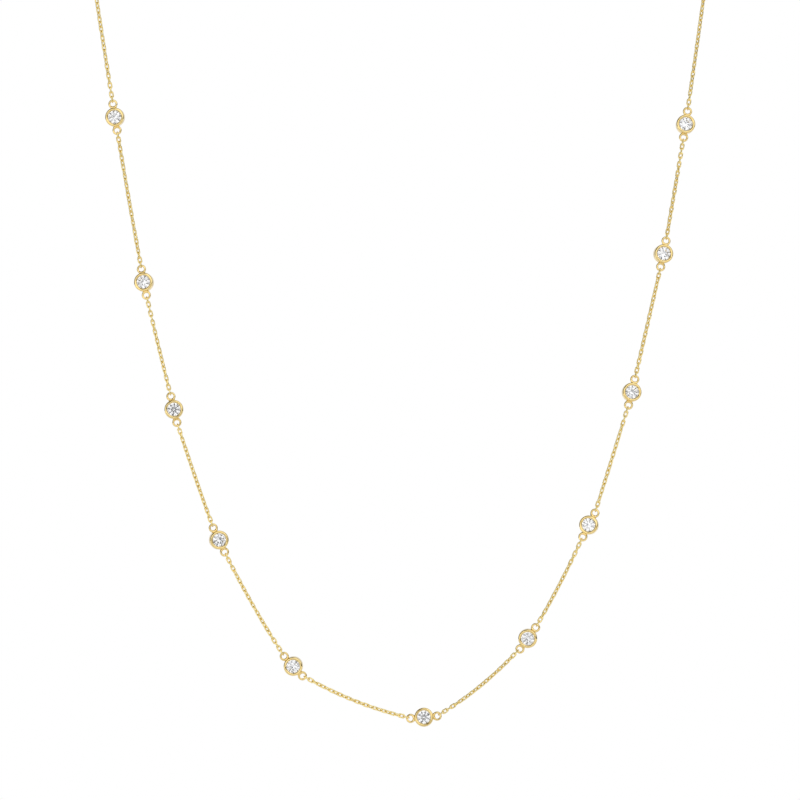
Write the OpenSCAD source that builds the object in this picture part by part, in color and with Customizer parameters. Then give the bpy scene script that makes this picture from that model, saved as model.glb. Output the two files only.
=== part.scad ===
// A fine cable chain necklace with round clear stones, each in a bezel with two soldered loops.
// It is held up at the nape. The origin is the middle of the closed clasp there, +X is to the
// right seen from the front, +Y is to the back and +Z is up. The front hangs in one vertical plane.

/* [Stone] */
// Diameter of each round stone
stone_d = 2.6; // [2.2:0.1:2.9]
// Width of the stone's table facet, as a part of its diameter
table_part = 0.56; // [0.52:0.01:0.62]
// Height of the stone's crown above its girdle
crown_h = 0.38; // [0.32:0.02:0.44]
// Thickness of the stone's girdle
girdle_h = 0.07; // [0.04:0.01:0.1]
// Depth of the stone's pavilion under its girdle
pavilion_h = 1.1; // [0.9:0.05:1.15]
// Where the lower girdle facets end, as a part of the stone's radius
keel_part = 0.25; // [0.2:0.05:0.3]
// How far each stone is turned past the one before it, in degrees
stone_turn = 13; // [0:1:22]

/* [Bezel] */
// Height of the cup from its back rim to the top of its lip
bezel_h = 1.6; // [1.6:0.05:1.8]
// Thickness of the cup's wall round the stone
wall = 0.37; // [0.3:0.01:0.42]
// How far the rolled lip reaches in over the stone
lip_over = 0.1; // [0.08:0.01:0.14]
// How far the seat reaches in under the stone
seat_w = 0.28; // [0.24:0.01:0.36]
// Rounding of the cup's back rim
back_round = 0.12; // [0.08:0.01:0.14]
// Clearance between the stone and the metal round it
stone_gap = 0.03; // [0.02:0.01:0.05]

/* [Loops] */
// Outside diameter of a soldered loop
loop_d = 1.67; // [1.6:0.01:1.8]
// Wire diameter of a soldered loop
loop_wire = 0.38; // [0.3:0.01:0.4]
// How deep a loop is sunk into the cup's wall
solder_in = 0.14; // [0.1:0.01:0.18]

/* [Chain] */
// Width of the cable chain
chain_w = 0.84; // [0.74:0.02:0.9]
// Wire diameter of the chain's links
link_wire = 0.26; // [0.22:0.01:0.28]
// Radius of an end link at the middle of its wire
end_link_r = 0.42; // [0.4:0.01:0.44]
// Clearance between an end link and what it hangs in
hook_gap = 0.02; // [0.01:0.01:0.03]
// Clearance between a loop and the full width of the chain
tube_gap = 0.12; // [0.1:0.02:0.2]
// Radius of the curve that a stretch of chain hangs in, at its lowest point, where its slack is 1
sag_r = 60; // [50:5:80]

/* [Nape] */
// Distance from the plane of the front back to the nape
nape_depth = 41; // [34:1:44]
// Height of the nape above the top of the hanging front
nape_rise = 22; // [14:1:26]
// Half the width at the top of the hanging front
shoulder_x = 54.6; // [54:0.1:55]
// How far the chain keeps rising before it turns back
shoulder_pull = 13; // [8:1:20]
// How far the chain runs sideways from the nape before it turns forward
nape_pull = 36; // [26:1:38]

/* [Clasp] */
// Radius of the clasp's ring at the middle of its wire
clasp_r = 2.1; // [2:0.1:2.4]
// Wire diameter of the clasp's ring
clasp_wire = 0.9; // [0.7:0.1:1]
// Diameter of the nub on the clasp's catch
nub_d = 0.55; // [0.5:0.05:0.7]
// Where the nub stands on the ring, in degrees round from the eye
nub_angle = 125; // [100:5:140]
// Radius of the jump ring at the middle of its wire
jump_r = 1.2; // [1.2:0.05:1.4]
// Wire diameter of the jump ring
jump_wire = 0.36; // [0.3:0.02:0.36]

/* [Hidden] */
$fn = 48;
FRONT = [0, -1, 0];
UP = [0, 0, 1];
GOLD = [0.93, 0.78, 0.45];
CLEAR = [0.86, 0.9, 0.96];
// How many times a stone's facets repeat round it
STONE_FOLD = 8;
// Sides of the tube that the chain is drawn as, and the rings that it is swept through
TUBE_SIDES = 8;
NAPE_RINGS = 19;
SHOULDER_RINGS = 3;
BEND_PER_RING = 6;

// Each row is a station, in the order of the chain from the left shoulder to the right one.
// across and drop place its middle from the centre line and from the top of the hanging front.
// heading is the way that the chain runs through it, in degrees from straight down.
// turn faces its stone to the inside of the necklace, and nod tips its second loop forward.
// slack is how much the chain after it sags, against the chain in general.
ACROSS = 0;
DROP = 1;
HEADING = 2;
TURN = 3;
NOD = 4;
SLACK = 5;
STATIONS = [
    // across, drop, heading, turn, nod, slack
    [-51.3,  21.1,   9,  -4,   1,  1.4],
    [-46.1,  50.8,  11,  -6,   6,  1.1],
    [-40.7,  73.7,  13,   3,   1,  1.1],
    [-32.6,  97.2,  25,  11,  -4,  1.4],
    [-19.2, 119.9,  43,  -5,   0,  1.0],
    [  4.3, 129.1,  95,   6,   0,  1.6],
    [ 23.0, 114.9, 144,   1,   4,  1.7],
    [ 34.0,  94.5, 153,  10,   0,  0.3],
    [ 41.7,  70.6, 166,  -5,  -6,  0.5],
    [ 47.4,  45.7, 168,  -7,  -6,  1.0],
    [ 51.4,  22.4, 171,  -2,  -7,  1.0]
];
LAST = len(STATIONS) - 1;

// The stone: its crown is steepest at the corners of the star facets, its pavilion at the keel.
stone_r = stone_d / 2;
table_r = stone_r * table_part;
facet_step = 180 / STONE_FOLD;
star_r = (table_r * cos(facet_step) + stone_r) / 2;
star_z = crown_h * (stone_r - star_r * cos(facet_step)) / (stone_r - table_r);
rim_slope = star_z / (stone_r - star_r);
keel_r = keel_part * stone_r;
keel_z = -girdle_h - pavilion_h * (1 - keel_part * cos(facet_step));
keel_slope = (-girdle_h - keel_z) / (stone_r - keel_r);

seat_r = stone_r + stone_gap;
bezel_r = seat_r + wall;
lip_r = stone_r - lip_over;
lip_roll = (bezel_r - lip_r) / 2;
lip_z = bezel_h / 2 - lip_roll;
girdle_z = lip_z - lip_over * rim_slope - stone_gap * norm([1, rim_slope]);
seat_top = girdle_z - girdle_h + stone_gap * keel_slope - stone_gap * norm([1, keel_slope]);
bore_r = seat_r - seat_w;

loop_r = (loop_d - loop_wire) / 2;
loop_reach = bezel_r + loop_d / 2 - solder_in;
grip = loop_r - (loop_wire + link_wire) / 2 - hook_gap;
tube_start = loop_d / 2 + tube_gap;
front_y = -nape_depth;
clasp_eye_x = clasp_r + clasp_wire / 2 + loop_r;
jump_x = -clasp_r + (clasp_wire + jump_wire) / 2 + 2 * hook_gap - jump_r;
jump_grip_x = jump_x - jump_r + (jump_wire + link_wire) / 2 + hook_gap + grip;

function two_digits(n) = n < 10 ? str("0", n) : str(n);
function numbered(name, n) = str(name, "_", two_digits(n));
function unit(v) = v / norm(v);
function sinh(x) = (exp(x) - exp(-x)) / 2;
function cosh(x) = (exp(x) + exp(-x)) / 2;
function asinh(x) = ln(x + sqrt(x * x + 1));
function arc(centre, r, from, to, steps) =
    [for (k = [0 : steps]) let (a = from + (to - from) * k / steps) centre + r * [cos(a), sin(a)]];

// A station's own frame: along is the way the chain runs, face is the way its stone looks.
function level_along(s) = [sin(s[HEADING]), 0, -cos(s[HEADING])];
function outward(s) = cross(level_along(s), FRONT);
function along(s) = level_along(s) * cos(s[NOD]) + FRONT * sin(s[NOD]);
function face(s) =
    (FRONT * cos(s[NOD]) - level_along(s) * sin(s[NOD])) * cos(s[TURN]) - outward(s) * sin(s[TURN]);
function middle(s) = [s[ACROSS], front_y, -nape_rise - s[DROP]];

// A hook is what an end link hangs in: the middle of its eye, and the way that the eye looks.
function hook_in(s) = [middle(s) - loop_reach * along(s), face(s)];
function hook_out(s) = [middle(s) + loop_reach * along(s), face(s)];
function hook_at_nape(side) = side < 0 ? [[jump_grip_x, 0, 0], UP] : [[clasp_eye_x, 0, 0], FRONT];

// The chain from a to b hangs as a catenary, whose radius is r at its lowest point.
// low is how far from a, level, that point would be.
function level(a, b) = norm([b.x - a.x, b.y - a.y]);
function low(a, b, r) =
    let (w = level(a, b))
    w / 2 - r * asinh((b.z - a.z) / (2 * r * sinh(w / (2 * r))));
function hang_length(a, b, r) =
    r * (sinh((level(a, b) - low(a, b, r)) / r) + sinh(low(a, b, r) / r));
function hang_bend(a, b, r) =
    atan(sinh((level(a, b) - low(a, b, r)) / r)) + atan(sinh(low(a, b, r) / r));
function hang(a, b, r, s) =
    let (
        l = low(a, b, r),
        t = l + r * asinh(s / r - sinh(l / r)),
        f = t / level(a, b)
    )
    [
        a.x + (b.x - a.x) * f,
        a.y + (b.y - a.y) * f,
        a.z + r * (cosh((t - l) / r) - cosh(l / r))
    ];
function hang_points(a, b, r, from, to, rings) =
    [for (k = [0 : rings - 1]) hang(a, b, r, from + (to - from) * k / (rings - 1))];

// The hidden stretch on one side: up from the top of the front, then round to the nape.
function bezier(p, t) =
    let (u = 1 - t)
    u * u * u * p[0] + 3 * u * u * t * p[1] + 3 * u * t * t * p[2] + t * t * t * p[3];
function shoulder(side) = [side * shoulder_x, front_y, -nape_rise];
function nape_curve(side, loop) =
    let (
        top = shoulder(side),
        rise = unit(top - hang(top, loop, sag_r, 1)),
        end = hook_at_nape(side)[0] + [side * tube_start, 0, 0]
    )
    [top, top + shoulder_pull * rise, end + [side * nape_pull, 0, 0], end];
function nape_points(side, loop, rings) =
    [for (k = [rings - 1 : -1 : 1]) bezier(nape_curve(side, loop), k / (rings - 1))];

// One stretch of chain: the hooks at its two ends, and the points that its middle passes through.
function front_stretch(i) =
    let (
        first = hook_out(STATIONS[i]),
        second = hook_in(STATIONS[i + 1]),
        a = first[0],
        b = second[0],
        r = sag_r / STATIONS[i][SLACK],
        rings = 2 + ceil(hang_bend(a, b, r) / BEND_PER_RING)
    )
    [first, second, hang_points(a, b, r, tube_start, hang_length(a, b, r) - tube_start, rings)];
function side_stretch(side) =
    let (
        hook = side < 0 ? hook_in(STATIONS[0]) : hook_out(STATIONS[LAST]),
        top = shoulder(side),
        end = hang_length(top, hook[0], sag_r) - tube_start
    )
    [hook_at_nape(side), hook, concat(
        nape_points(side, hook[0], NAPE_RINGS),
        hang_points(top, hook[0], sag_r, 0, end, SHOULDER_RINGS)
    )];
function stretch(i) =
    i == 0 ? side_stretch(-1) : i == LAST + 1 ? side_stretch(1) : front_stretch(i - 1);

CHAINS = [for (i = [0 : LAST + 1]) numbered("chain", i + 1)];
BEZELS = [for (i = [0 : LAST]) numbered("bezel", i + 1)];
STONES = [for (i = [0 : LAST]) numbered("stone", i + 1)];

module place(at, x, z) {
    y = cross(z, x);
    multmatrix([
        [x[0], y[0], z[0], at[0]],
        [x[1], y[1], z[1], at[1]],
        [x[2], y[2], z[2], at[2]],
        [0, 0, 0, 1]
    ]) children();
}

module wire_ring(r, wire) {
    rotate_extrude() translate([r, 0]) circle(d = wire);
}

// The cup is one turned profile: back rim, outer wall, rolled lip, girdle wall, seat and open back.
module cup() {
    rotate_extrude() polygon(concat(
        [[bore_r + back_round / 2, -bezel_h / 2]],
        arc([bezel_r - back_round, back_round - bezel_h / 2], back_round, -90, 0, 3),
        arc([bezel_r - lip_roll, lip_z], lip_roll, 0, 180, 8),
        [
            [seat_r, lip_z - (seat_r - lip_r) * rim_slope],
            [seat_r, seat_top],
            [bore_r, seat_top - seat_w * keel_slope],
            [bore_r, (back_round - bezel_h) / 2]
        ]
    ));
}

module bezel(s) {
    color(GOLD) place(middle(s), along(s), face(s)) {
        cup();
        for (side = [-1, 1]) translate([side * loop_reach, 0, 0]) wire_ring(loop_r, loop_wire);
    }
}

// A round brilliant: table, stars, kites, upper girdle, girdle, lower girdle and pavilion mains.
module brilliant() {
    function ring(r, z, count, shift) =
        [for (k = [0 : count - 1]) let (a = (k + shift) * 360 / count) [r * cos(a), r * sin(a), z]];
    n = STONE_FOLD;
    points = concat(
        ring(table_r, crown_h, n, 0),
        ring(star_r, star_z, n, 0.5),
        ring(stone_r, 0, 2 * n, 0),
        ring(stone_r, -girdle_h, 2 * n, 0),
        ring(keel_r, keel_z, n, 0.5),
        [[0, 0, -girdle_h - pavilion_h]]
    );
    star = n;
    top = 2 * n;
    bottom = 4 * n;
    keel = 6 * n;
    culet = 7 * n;
    polyhedron(points = points, faces = concat(
        [[for (k = [n - 1 : -1 : 0]) k]],
        [for (k = [0 : n - 1]) let (next = (k + 1) % n, last = (k + n - 1) % n, g = 2 * k) each [
            [k, next, star + k],
            [k, star + k, top + g, star + last],
            [star + k, top + g + 1, top + g],
            [star + k, top + 2 * next, top + g + 1],
            [top + g, top + g + 1, bottom + g + 1, bottom + g],
            [top + g + 1, top + 2 * next, bottom + 2 * next, bottom + g + 1],
            [bottom + g, bottom + g + 1, keel + k],
            [bottom + g + 1, bottom + 2 * next, keel + k],
            [bottom + g, keel + k, culet, keel + last]
        ]]
    ));
}

module stone(s, turn) {
    color(CLEAR) place(middle(s), along(s), face(s))
        translate([0, 0, girdle_z]) rotate([0, 0, turn]) brilliant();
}

// A tube swept along points. across is never parallel to the way that the tube runs.
module tube(points, r, across) {
    n = TUBE_SIDES;
    last = len(points) - 1;
    corners = [for (k = [0 : last]) let (
        way = unit(points[min(k + 1, last)] - points[max(k - 1, 0)]),
        u = unit(cross(across, way)),
        v = cross(way, u)
    ) for (j = [0 : n - 1]) let (a = 360 * (j + 0.5) / n) points[k] + r * (u * cos(a) + v * sin(a))];
    polyhedron(points = corners, faces = concat(
        [[for (j = [0 : n - 1]) j]],
        [[for (j = [n - 1 : -1 : 0]) last * n + j]],
        [for (k = [0 : last - 1]) for (j = [0 : n - 1]) let (
            a = k * n + j,
            b = k * n + (j + 1) % n
        ) each [[a, a + n, b], [b, a + n, b + n]]]
    ));
}

// An end link stands across the eye that it hangs in, on the side where the chain pulls.
module end_link(hook, toward) {
    pull = toward - hook[0];
    way = unit(pull - (pull * hook[1]) * hook[1]);
    place(hook[0] + (grip + end_link_r) * way, way, cross(way, hook[1]))
        wire_ring(end_link_r, link_wire);
}

// A stretch of chain is drawn as a tube of its full width with an end link at each end.
module chain(i) {
    s = stretch(i);
    points = s[2];
    at_nape = i == 0 || i == LAST + 1;
    side = i == 0 ? -1 : 1;
    color(GOLD) {
        tube(points, chain_w / 2, at_nape ? [side, 1, -1] : FRONT);
        end_link(s[0], points[0]);
        end_link(s[1], points[len(points) - 1]);
    }
}

// The clasp is one plain piece: a ring, the nub of its catch, and an eye for the chain.
module clasp() {
    color(GOLD) place([0, 0, 0], [1, 0, 0], FRONT) {
        wire_ring(clasp_r, clasp_wire);
        translate([clasp_eye_x, 0, 0]) wire_ring(loop_r, loop_wire);
        rotate([0, 0, nub_angle]) translate([clasp_r + clasp_wire / 2, 0, 0]) sphere(d = nub_d);
    }
}

module jump_ring() {
    color(GOLD) translate([jump_x, 0, 0]) wire_ring(jump_r, jump_wire);
}

for (i = [0 : LAST + 1]) chain(i);
for (i = [0 : LAST]) bezel(STATIONS[i]);
for (i = [0 : LAST]) stone(STATIONS[i], stone_turn * i);
clasp();
jump_ring();
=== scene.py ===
"""A fine cable chain necklace with clear stones in bezels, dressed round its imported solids.

The stones keep their solids and get a material. The settings, the runs of links, the clasp and the
ring that it is closed on are made here, to the solids' measures, and each stands for its solid."""

import math
import random

import bmesh
import bpy
import numpy as np
from mathutils import Matrix, Vector


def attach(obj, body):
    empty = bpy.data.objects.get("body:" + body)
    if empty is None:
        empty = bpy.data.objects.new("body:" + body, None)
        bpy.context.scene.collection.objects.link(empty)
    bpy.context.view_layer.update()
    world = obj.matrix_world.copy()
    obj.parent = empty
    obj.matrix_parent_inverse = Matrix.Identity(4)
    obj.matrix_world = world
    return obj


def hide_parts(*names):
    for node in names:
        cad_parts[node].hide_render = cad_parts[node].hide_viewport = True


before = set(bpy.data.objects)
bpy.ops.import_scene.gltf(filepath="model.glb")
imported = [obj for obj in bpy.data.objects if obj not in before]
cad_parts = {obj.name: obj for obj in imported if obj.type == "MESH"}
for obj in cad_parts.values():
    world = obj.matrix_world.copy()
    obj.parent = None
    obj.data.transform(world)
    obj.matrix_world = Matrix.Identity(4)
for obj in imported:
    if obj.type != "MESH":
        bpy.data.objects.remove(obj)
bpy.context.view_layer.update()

# Lengths are in millimetres until new_piece, make_floor and make_camera turn them into metres.
# Angles are in degrees until they are used.
MM = 0.001
SEED = 20
QUARTER = math.pi / 2
FRONT = Vector((0, -1, 0))
UP = Vector((0, 0, 1))
RIGHT = Vector((1, 0, 0))

# Settings
BEZEL_R = 1.7
BEZEL_H = 1.6
SEAT_R = 1.33
BORE_R = 1.05
LIP_R = 1.2
SEAT_TOP = 0.345
RIM_SLOPE = 0.823
KEEL_SLOPE = 0.868
BACK_ROUND = 0.12
LOOP_R = 0.645
LOOP_WIRE = 0.38
LOOP_REACH = 2.395
# How much solder swells a loop's wire, from which angle off the cup, and over how many degrees
SOLDER = 0.07
SOLDER_FROM = 62
SOLDER_SPAN = 34

# Chain
LINK_L = 1.375
LINK_W = 0.84
LINK_WIRE = 0.26
HOOK_GAP = 0.02
GRIP = LOOP_R - (LOOP_WIRE + LINK_WIRE) / 2 - HOOK_GAP
SAG_R = 60
# How far a hanging link leans from square, over how many links from an end, and how loosely
LEAN = 45
LEAN_OVER = (3, 9)
LOOSE = 8

# Nape and clasp
NAPE_DEPTH = 41
NAPE_RISE = 22
SHOULDER_X = 54.6
SHOULDER_PULL = 13
NAPE_PULL = 36
NAPE_LEAD = 1
CLASP_R = 2.1
CLASP_WIRE = 0.9
BOLT_WIRE = 0.66
BOLT_FROM = 62
BOLT_TO = 112
BOLT_STEP = 4
EYE_X = CLASP_R + CLASP_WIRE / 2 + LOOP_R
NUB_D = 0.55
NUB_ANGLE = 125
JUMP_R = 1.2
JUMP_WIRE = 0.36
JUMP_X = -CLASP_R + (CLASP_WIRE + JUMP_WIRE) / 2 + 2 * HOOK_GAP - JUMP_R
JUMP_HOOK_X = JUMP_X - JUMP_R + (JUMP_WIRE + LINK_WIRE) / 2 + HOOK_GAP

# Meshing: a turned form's hole where it would close on its axis, and the angle of crisp edges
PINHOLE = 0.001
CRISP = 40

# Stations from the left shoulder to the right one
STATIONS = (
    # across, drop, heading, turn, nod, slack
    (-51.3, 21.1, 9, -4, 1, 1.4),
    (-46.1, 50.8, 11, -6, 6, 1.1),
    (-40.7, 73.7, 13, 3, 1, 1.1),
    (-32.6, 97.2, 25, 11, -4, 1.4),
    (-19.2, 119.9, 43, -5, 0, 1.0),
    (4.3, 129.1, 95, 6, 0, 1.6),
    (23.0, 114.9, 144, 1, 4, 1.7),
    (34.0, 94.5, 153, 10, 0, 0.3),
    (41.7, 70.6, 166, -5, -6, 0.5),
    (47.4, 45.7, 168, -7, -6, 1.0),
    (51.4, 22.4, 171, -2, -7, 1.0),
)

# Golds: light tone, deep tone, roughness where polished, roughness where worn
SETTING_GOLD = ((0.94, 0.74, 0.34), (0.90, 0.68, 0.28), 0.06, 0.13)
LINK_GOLD = ((1.00, 0.83, 0.38), (0.97, 0.77, 0.31), 0.07, 0.16)
CLASP_GOLD = ((0.97, 0.79, 0.38), (0.93, 0.72, 0.32), 0.12, 0.20)
TONE_STOPS = (0.35, 0.65)
DENT_STRENGTH = 0.25
DENT_DEPTH = 0.01

# Stones
STONE_TINT = (0.97, 0.98, 1.0, 1)
STONE_IOR = 2.17
STONE_HAZE = (0.04, 0.08)

# Noise is nearly all between these two values
NOISE_REACH = (0.3, 0.7)

# Camera: the picture's width at the necklace's front, its middle below its top, and the distance
PICTURE_W = 144
PICTURE_DROP = 72
CAMERA_AWAY = 800

# Floor: its own glow grows from the first value to the second between the two radii
FLOOR_DROP = 1400
FLOOR_R = 9000
FLOOR_SIDES = 96
FLOOR_TONE = (0.93, 0.95)
FLOOR_GLOW = (0.28, 0.48)
FLOOR_GLOW_R = (3000, 8600)

# Studio: a dim room with soft boxes, each an even glow that fades at its edge
WHITE = (1, 1, 1, 1)
ROOM_GLOW = 0.1
SOFT_BOXES = (
    # way to it from the necklace, half its width, width of its fading edge, brightness
    ((0.4, -0.8, 0.55), 27, 9, 1.6),
    ((-0.5, -0.9, 0.12), 19, 8, 1.6),
    ((0.2, 1.0, 0.3), 60, 12, 0.85),
)


class Station:
    """A station's middle, the way that the chain runs through it and the way its stone looks."""

    def __init__(self, across, drop, heading, turn, nod, slack):
        heading, turn, nod = math.radians(heading), math.radians(turn), math.radians(nod)
        self.sag_r = SAG_R / slack
        level = Vector((math.sin(heading), 0, -math.cos(heading)))
        outward = level.cross(FRONT)
        tipped = FRONT * math.cos(nod) - level * math.sin(nod)
        self.middle = Vector((across, -NAPE_DEPTH, -NAPE_RISE - drop))
        self.along = level * math.cos(nod) + FRONT * math.sin(nod)
        self.face = tipped * math.cos(turn) - outward * math.sin(turn)

    def placed(self):
        """The matrix that puts a setting here, its length along X, its stone looking along Z."""
        return placing(self.middle, self.along, self.face)

    def hook(self, way, towards):
        """Where an end link's wire lies in the loop on that side, and the way the loop looks."""
        middle = self.middle + way * LOOP_REACH * self.along
        pull = towards - middle
        pull = (pull - pull.dot(self.face) * self.face).normalized()
        return middle + GRIP * pull, self.face


def placing(middle, x, z):
    """The matrix that moves the origin to middle, with X along x and Z along z."""
    turned = Matrix((x, z.cross(x), z)).transposed()
    return Matrix.Translation(middle) @ turned.to_4x4()


def smooth(t):
    """Rises evenly from 0 at t = 0 to 1 at t = 1."""
    t = min(max(t, 0), 1)
    return t * t * (3 - 2 * t)


def turned_about(v, way, angle):
    """v turned about way, both at right angles."""
    return math.cos(angle) * v + math.sin(angle) * way.cross(v)


def angle_about(way, a, b):
    """The angle from a to b, seen along way."""
    return math.atan2(way.dot(a.cross(b)), a.dot(b))


def catenary(a, b, r, steps):
    """Points along the chain where it hangs from a to b, with the radius r at its lowest point."""
    width = math.hypot(b.x - a.x, b.y - a.y)
    low = width / 2 - r * math.asinh((b.z - a.z) / (2 * r * math.sinh(width / (2 * r))))
    points = []
    for k in range(steps + 1):
        point = a.lerp(b, k / steps)
        point.z = a.z + r * (math.cosh((width * k / steps - low) / r) - math.cosh(low / r))
        points.append(point)
    return points


def bezier(p, steps):
    """Points along the cubic curve that the four points in p control."""
    points = []
    for k in range(steps + 1):
        t = k / steps
        u = 1 - t
        points.append(u**3 * p[0] + 3 * u * u * t * p[1] + 3 * u * t * t * p[2] + t**3 * p[3])
    return points


def shoulder(side):
    """Where the chain passes over the shoulder on one side, -1 on the left and 1 on the right."""
    return Vector((side * SHOULDER_X, -NAPE_DEPTH, -NAPE_RISE))


def nape_points(side, hook):
    """Points from a station's hook up over the shoulder and round to the nape, on one side."""
    top = shoulder(side)
    end = Vector((JUMP_HOOK_X if side < 0 else EYE_X + GRIP, 0, 0))
    lead = end + side * NAPE_LEAD * RIGHT
    hanging = catenary(hook, top, SAG_R, steps=60)
    rise = (hanging[-1] - hanging[-2]).normalized()
    controls = (top, top + SHOULDER_PULL * rise, lead + side * NAPE_PULL * RIGHT, lead)
    return hanging + bezier(controls, steps=300)[1:] + [end]


class Route:
    """A line through points, read by the length along it. Its side turns only where it must."""

    def __init__(self, points, side):
        steps = [b - a for a, b in zip(points, points[1:])]
        self.points = points
        self.lengths = np.concatenate(([0], np.cumsum([step.length for step in steps])))
        self.ways = [step.normalized() for step in steps]
        self.sides = []
        for way in self.ways:
            side = (side - side.dot(way) * way).normalized()
            self.sides.append(side)

    def at(self, length):
        """The point, the way on and the side at a length along the route."""
        k = int(np.searchsorted(self.lengths, length, side="right")) - 1
        k = min(max(k, 0), len(self.ways) - 1)
        on = float(length - self.lengths[k])
        return self.points[k] + on * self.ways[k], self.ways[k], self.sides[k]


def wire(centres, outs, up, radii, sides):
    """A closed wire's points and faces: its middle runs through centres, outs and up cross it."""
    points = []
    for centre, out, r in zip(centres, outs, radii):
        for j in range(sides):
            a = 2 * math.pi * j / sides
            points.append(centre + r * (math.cos(a) * out + math.sin(a) * up))
    faces = []
    for k in range(len(centres)):
        n = (k + 1) % len(centres)
        for j in range(sides):
            m = (j + 1) % sides
            faces.append((k * sides + j, k * sides + m, n * sides + m, n * sides + j))
    return points, faces


def ring(r, radius_at, steps, sides):
    """A wire ring in the XY plane, whose wire has the radius that radius_at gives for its angle."""
    angles = [360 * k / steps for k in range(steps)]
    outs = [Vector((math.cos(math.radians(a)), math.sin(math.radians(a)), 0)) for a in angles]
    return wire([r * out for out in outs], outs, UP, [radius_at(a) for a in angles], sides)


def oval_link(steps=8, sides=10):
    """A link in the XY plane, long along X: two straight sides and two round ends."""
    end_r = (LINK_W - LINK_WIRE) / 2
    half = (LINK_L - LINK_W) / 2
    centres, outs = [], []
    for end in (1, -1):
        for k in range(steps + 1):
            a = math.radians(-90 + 180 * k / steps)
            out = end * Vector((math.cos(a), math.sin(a), 0))
            outs.append(out)
            centres.append(end * half * RIGHT + end_r * out)
    return wire(centres, outs, UP, [LINK_WIRE / 2] * len(centres), sides)


def lathe(profile, steps):
    """A closed profile of (radius, height) turned round Z."""
    points = []
    for k in range(steps):
        a = 2 * math.pi * k / steps
        points += [Vector((r * math.cos(a), r * math.sin(a), z)) for r, z in profile]
    n = len(profile)
    faces = []
    for k in range(steps):
        for j in range(n):
            a, b = k * n + j, k * n + (j + 1) % n
            c, d = (k + 1) % steps * n + (j + 1) % n, (k + 1) % steps * n + j
            faces.append((a, d, c, b))
    return points, faces


def arc(centre, r, start, end, steps):
    """Points on an arc, both ends included."""
    angles = [math.radians(start + (end - start) * k / steps) for k in range(steps + 1)]
    return [(centre[0] + r * math.cos(a), centre[1] + r * math.sin(a)) for a in angles]


def moved(part, matrix):
    """The same points and faces, moved by a matrix."""
    points, faces = part
    return [matrix @ p for p in points], faces


def new_mesh(name, points, faces):
    """A mesh of points and faces, with its faces turned outwards."""
    mesh = bpy.data.meshes.new(name)
    mesh.from_pydata([tuple(p) for p in points], [], faces)
    grown = bmesh.new()
    grown.from_mesh(mesh)
    bmesh.ops.recalc_face_normals(grown, faces=grown.faces)
    grown.to_mesh(mesh)
    grown.free()
    return mesh


def new_object(name, data):
    """An object in the scene that shows a mesh or holds a camera."""
    thing = bpy.data.objects.new(name, data)
    bpy.context.scene.collection.objects.link(thing)
    return thing


def new_piece(name, mesh, material, node, sharp=180):
    """A piece from a mesh in millimetres that stands for a solid and rides with it."""
    mesh.transform(Matrix.Scale(MM, 4))
    mesh.shade_smooth()
    mesh.set_sharp_from_angle(angle=math.radians(sharp))
    mesh.materials.clear()
    mesh.materials.append(material)
    piece = new_object(name, mesh)
    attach(piece, "root")
    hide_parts(node)


def fused(name, parts):
    """One mesh from parts that meet, each a closed skin."""
    bodies = [new_object(name, new_mesh(name, *part)) for part in parts]
    for other in bodies[1:]:
        union = bodies[0].modifiers.new("union", "BOOLEAN")
        union.operation = "UNION"
        union.solver = "EXACT"
        union.object = other
    seen = bodies[0].evaluated_get(bpy.context.evaluated_depsgraph_get())
    mesh = bpy.data.meshes.new_from_object(seen)
    for body in bodies:
        old = body.data
        bpy.data.objects.remove(body)
        bpy.data.meshes.remove(old)
    return mesh


def cup():
    """The bezel's cup: back rim, outer wall, rolled lip, girdle wall, seat and open back."""
    half = BEZEL_H / 2
    roll = (BEZEL_R - LIP_R) / 2
    lip_z = half - roll
    under_lip = lip_z - (SEAT_R - LIP_R) * RIM_SLOPE
    seat_low = SEAT_TOP - (SEAT_R - BORE_R) * KEEL_SLOPE
    profile = [(BORE_R + BACK_ROUND / 2, -half)]
    profile += arc((BEZEL_R - BACK_ROUND, BACK_ROUND - half), BACK_ROUND, -90, 0, steps=6)
    profile += [(BEZEL_R, z) for z in np.linspace(BACK_ROUND - half, lip_z, num=14)[1:-1]]
    profile += arc((BEZEL_R - roll, lip_z), roll, 0, 180, steps=18)
    profile += [(SEAT_R, under_lip), (SEAT_R, SEAT_TOP), (BORE_R, seat_low)]
    profile += [(BORE_R, BACK_ROUND / 2 - half)]
    return lathe(profile, steps=128)


def setting_mesh():
    """The cup with its two loops soldered on. A loop's wire swells with solder at the cup."""

    def radius_at(a):
        away = abs((a + 180) % 360 - 180)
        return LOOP_WIRE / 2 + SOLDER * smooth((SOLDER_FROM - away) / SOLDER_SPAN)

    loop = ring(LOOP_R, radius_at, steps=72, sides=16)
    before = moved(loop, placing(-LOOP_REACH * RIGHT, RIGHT, UP))
    after = moved(loop, placing(LOOP_REACH * RIGHT, -RIGHT, UP))
    return fused("setting", [cup(), before, after])


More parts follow.
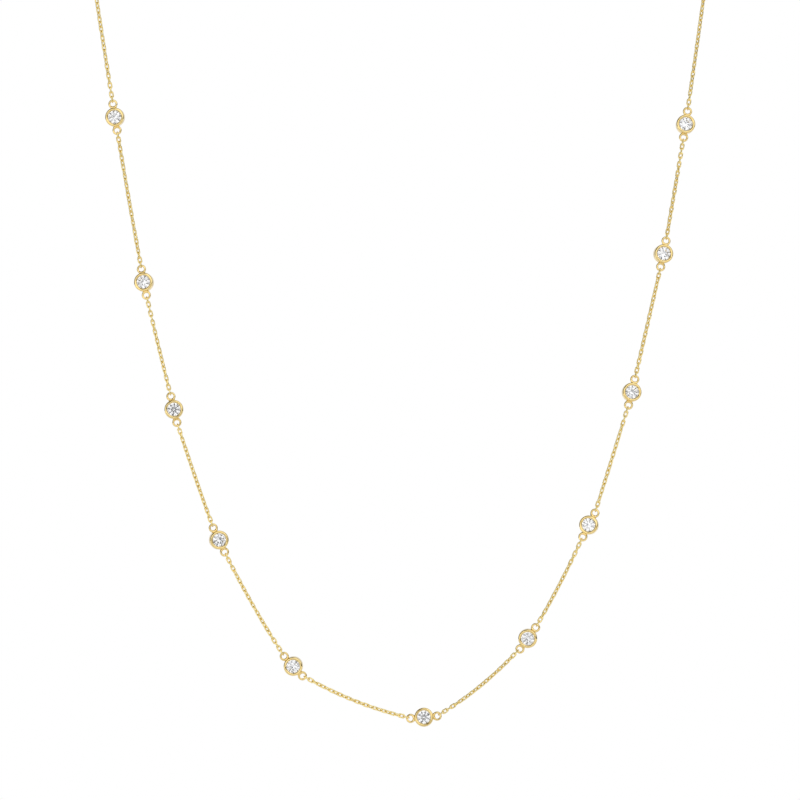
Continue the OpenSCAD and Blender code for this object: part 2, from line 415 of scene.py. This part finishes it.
def chain_mesh(name, points, first, last, draw):
    """Oval links from end to end, each a quarter turn on from the one before.

    first and last are the ways that the two end hooks look: an end link stands across its hook.
    Between the ends the links lean."""
    route = Route(points, first)
    half = (LINK_L - LINK_WIRE) / 2
    run = route.lengths[-1] - 2 * half
    steps = math.ceil(run / (LINK_L - 2 * LINK_WIRE))
    end_way, end_side = route.ways[-1], route.sides[-1]
    closing = angle_about(end_way, end_side, last - last.dot(end_way) * end_way)
    twist = (closing - steps * QUARTER + QUARTER) % (2 * QUARTER) - QUARTER
    lean = math.radians(LEAN)
    lean *= math.copysign(1, twist) if abs(twist) > lean else draw.choice((-1, 1))
    first_over, last_over = draw.uniform(*LEAN_OVER), draw.uniform(*LEAN_OVER)
    shape, shape_faces = oval_link()
    shape = np.array(shape)
    placed, faces = [], []
    for k in range(steps + 1):
        middle, way, side = route.at(half + run * (k / steps))
        roll = k * QUARTER + lean * smooth(k / first_over)
        roll += (twist - lean) * smooth(1 - (steps - k) / last_over)
        roll += math.radians(draw.uniform(-LOOSE, LOOSE)) * (0 < k < steps)
        across = turned_about(side, way, roll)
        turn = np.array(placing(middle, way, way.cross(across)))
        faces += [tuple(len(placed) * len(shape) + n for n in face) for face in shape_faces]
        placed.append(shape @ turn[:3, :3].T + turn[:3, 3])
    return new_mesh(name, np.concatenate(placed), faces)


def node_tree(owner):
    """The nodes of a material or world, and a function that links an output to an input."""
    owner.use_nodes = True
    tree = owner.node_tree

    def join(source, output, target, entry):
        tree.links.new(source.outputs[output], target.inputs[entry])

    return tree.nodes, join


def noise(nodes, join, coords, scale, detail=2):
    """A noise texture of a scale in bumps a metre."""
    texture = nodes.new("ShaderNodeTexNoise")
    texture.inputs["Scale"].default_value = scale
    texture.inputs["Detail"].default_value = detail
    join(coords, "Object", texture, "Vector")
    return texture


def mapped(nodes, join, source, output, reach, values, kind="LINEAR"):
    """A node that maps an output's reach to that between two values, and holds it beyond."""
    ends = nodes.new("ShaderNodeMapRange")
    ends.interpolation_type = kind
    for entry, value in zip(("From Min", "From Max", "To Min", "To Max"), (*reach, *values)):
        ends.inputs[entry].default_value = value
    join(source, output, ends, "Value")
    return ends


def spread(nodes, join, texture, values):
    """A node that spreads a noise texture between two values."""
    return mapped(nodes, join, texture, "Fac", NOISE_REACH, values)


def gold(name, light, deep, polished, worn):
    """Polished yellow gold: its tone drifts a little, with fine polishing haze and small dents."""
    material = bpy.data.materials.new(name)
    nodes, join = node_tree(material)
    surface = nodes["Principled BSDF"]
    surface.inputs["Metallic"].default_value = 1
    coords = nodes.new("ShaderNodeTexCoord")
    tone = nodes.new("ShaderNodeValToRGB")
    for stop, place, colour in zip(tone.color_ramp.elements, TONE_STOPS, (deep, light)):
        stop.position = place
        stop.color = (*colour, 1)
    join(noise(nodes, join, coords, scale=700), "Fac", tone, "Fac")
    join(tone, "Color", surface, "Base Color")
    haze = spread(nodes, join, noise(nodes, join, coords, scale=5200, detail=4), (polished, worn))
    join(haze, "Result", surface, "Roughness")
    dents = nodes.new("ShaderNodeBump")
    dents.inputs["Strength"].default_value = DENT_STRENGTH
    dents.inputs["Distance"].default_value = MM * DENT_DEPTH
    join(noise(nodes, join, coords, scale=2600, detail=3), "Fac", dents, "Height")
    join(dents, "Normal", surface, "Normal")
    return material


def clear_stone():
    """A clear cut stone: it bends and returns the light, with the faintest haze of handling."""
    material = bpy.data.materials.new("clear_stone")
    nodes, join = node_tree(material)
    surface = nodes["Principled BSDF"]
    surface.inputs["Base Color"].default_value = STONE_TINT
    surface.inputs["IOR"].default_value = STONE_IOR
    surface.inputs["Transmission Weight"].default_value = 1
    coords = nodes.new("ShaderNodeTexCoord")
    haze = spread(nodes, join, noise(nodes, join, coords, scale=1800), STONE_HAZE)
    join(haze, "Result", surface, "Roughness")
    return material


def make_camera():
    """A long lens straight in front, at the height of the middle of the picture."""
    camera = bpy.data.cameras.new("camera")
    camera.lens = camera.sensor_width * CAMERA_AWAY / PICTURE_W
    holder = new_object("camera", camera)
    holder.location = MM * Vector((0, -NAPE_DEPTH - CAMERA_AWAY, -NAPE_RISE - PICTURE_DROP))
    holder.rotation_euler = (QUARTER, 0, 0)
    bpy.context.scene.camera = holder


def make_studio():
    """A white surround for the camera, and a dim room with soft boxes for the metal to reflect."""
    world = bpy.data.worlds.new("studio")
    bpy.context.scene.world = world
    nodes, join = node_tree(world)
    coords = nodes.new("ShaderNodeTexCoord")
    glow = nodes.new("ShaderNodeValue")
    glow.outputs[0].default_value = ROOM_GLOW
    for way, width, edge, brightness in SOFT_BOXES:
        towards = nodes.new("ShaderNodeVectorMath")
        towards.operation = "DOT_PRODUCT"
        towards.inputs[1].default_value = Vector(way).normalized()
        join(coords, "Generated", towards, 0)
        fade = [math.cos(math.radians(angle)) for angle in (width + edge, width)]
        box = mapped(nodes, join, towards, "Value", fade, (0, brightness), "SMOOTHSTEP")
        total = nodes.new("ShaderNodeMath")
        join(glow, 0, total, 0)
        join(box, "Result", total, 1)
        glow = total
    room = nodes.new("ShaderNodeBackground")
    join(glow, 0, room, "Strength")
    white = nodes["Background"]
    white.inputs["Color"].default_value = WHITE
    ray = nodes.new("ShaderNodeLightPath")
    either = nodes.new("ShaderNodeMixShader")
    join(ray, "Is Camera Ray", either, 0)
    join(room, 0, either, 1)
    join(white, 0, either, 2)
    join(either, 0, nodes["World Output"], "Surface")
    bpy.context.scene.view_settings.view_transform = "Standard"


def make_floor():
    """A plain pale floor, far enough under the necklace for a camera to pass between them.

    Its own glow grows outwards, so that it meets the white surround without a line."""
    points = []
    for a in np.linspace(0, 2 * math.pi, FLOOR_SIDES, endpoint=False):
        points.append(MM * Vector((FLOOR_R * math.cos(a), FLOOR_R * math.sin(a), -FLOOR_DROP)))
    mesh = new_mesh("floor", points, [tuple(range(FLOOR_SIDES))])
    material = bpy.data.materials.new("floor")
    nodes, join = node_tree(material)
    surface = nodes["Principled BSDF"]
    surface.inputs["Specular IOR Level"].default_value = 0
    surface.inputs["Emission Color"].default_value = WHITE
    coords = nodes.new("ShaderNodeTexCoord")
    mottle = spread(nodes, join, noise(nodes, join, coords, scale=6), FLOOR_TONE)
    join(mottle, "Result", surface, "Base Color")
    away = nodes.new("ShaderNodeVectorMath")
    away.operation = "LENGTH"
    join(coords, "Object", away, 0)
    radii = [MM * r for r in FLOOR_GLOW_R]
    glow = mapped(nodes, join, away, "Value", radii, FLOOR_GLOW, "SMOOTHSTEP")
    join(glow, "Result", surface, "Emission Strength")
    mesh.materials.append(material)
    new_object("floor", mesh)


def make_settings(stations, metal, stone):
    """One setting, placed at each station, and the material of the stones' own solids."""
    mesh = setting_mesh()
    for number, station in enumerate(stations, 1):
        here = mesh.copy()
        here.transform(station.placed())
        name, node = f"setting_{number:02d}", f"bezel_{number:02d}"
        new_piece(name, here, metal, node, sharp=CRISP)
        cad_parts[f"stone_{number:02d}"].material_slots[0].material = stone
    bpy.data.meshes.remove(mesh)


def make_chain(stations, metal):
    """The run of links on each side of every station."""
    draw = random.Random(SEED)
    runs = []
    for a, b in zip(stations, stations[1:]):
        (start, first), (end, last) = a.hook(1, b.middle), b.hook(-1, a.middle)
        runs.append((catenary(start, end, a.sag_r, steps=80), first, last))
    left, face = stations[0].hook(-1, shoulder(-1))
    runs.insert(0, (nape_points(-1, left), face, UP))
    right, face = stations[-1].hook(1, shoulder(1))
    runs.append((nape_points(1, right), face, FRONT))
    for number, (points, first, last) in enumerate(runs, 1):
        name = f"links_{number:02d}"
        mesh = chain_mesh(name, points, first, last, draw)
        new_piece(name, mesh, metal, f"chain_{number:02d}")


def make_clasp(metal):
    """The closed spring ring with its bolt, nub and eye, and the ring that it is closed on."""

    def radius_at(a):
        inside = min((a - BOLT_FROM) / BOLT_STEP, (BOLT_TO - a) / BOLT_STEP)
        return CLASP_WIRE / 2 - (CLASP_WIRE - BOLT_WIRE) / 2 * min(max(inside, 0), 1)

    spring = ring(CLASP_R, radius_at, steps=180, sides=32)
    eye = ring(LOOP_R, lambda a: LOOP_WIRE / 2, steps=72, sides=16)
    eye = moved(eye, Matrix.Translation(EYE_X * RIGHT))
    ball = NUB_D / 2
    profile = [(PINHOLE, -ball)] + arc((0, 0), ball, -60, 90, steps=14)[:-1] + [(PINHOLE, ball)]
    out = Vector((math.cos(math.radians(NUB_ANGLE)), math.sin(math.radians(NUB_ANGLE)), 0))
    nub = moved(lathe(profile, steps=32), placing((CLASP_R + CLASP_WIRE / 2) * out, UP, out))
    mesh = fused("clasp", [spring, eye, nub])
    mesh.transform(placing(Vector(), RIGHT, FRONT))
    new_piece("spring_ring", mesh, metal, "clasp", sharp=CRISP)
    jump = ring(JUMP_R, lambda a: JUMP_WIRE / 2, steps=96, sides=20)
    mesh = new_mesh("end_ring", *moved(jump, Matrix.Translation(JUMP_X * RIGHT)))
    new_piece("end_ring", mesh, metal, "jump_ring")


make_camera()
make_studio()
make_floor()
every_station = [Station(*row) for row in STATIONS]
make_settings(every_station, gold("setting_gold", *SETTING_GOLD), clear_stone())
make_chain(every_station, gold("link_gold", *LINK_GOLD))
make_clasp(gold("clasp_gold", *CLASP_GOLD))
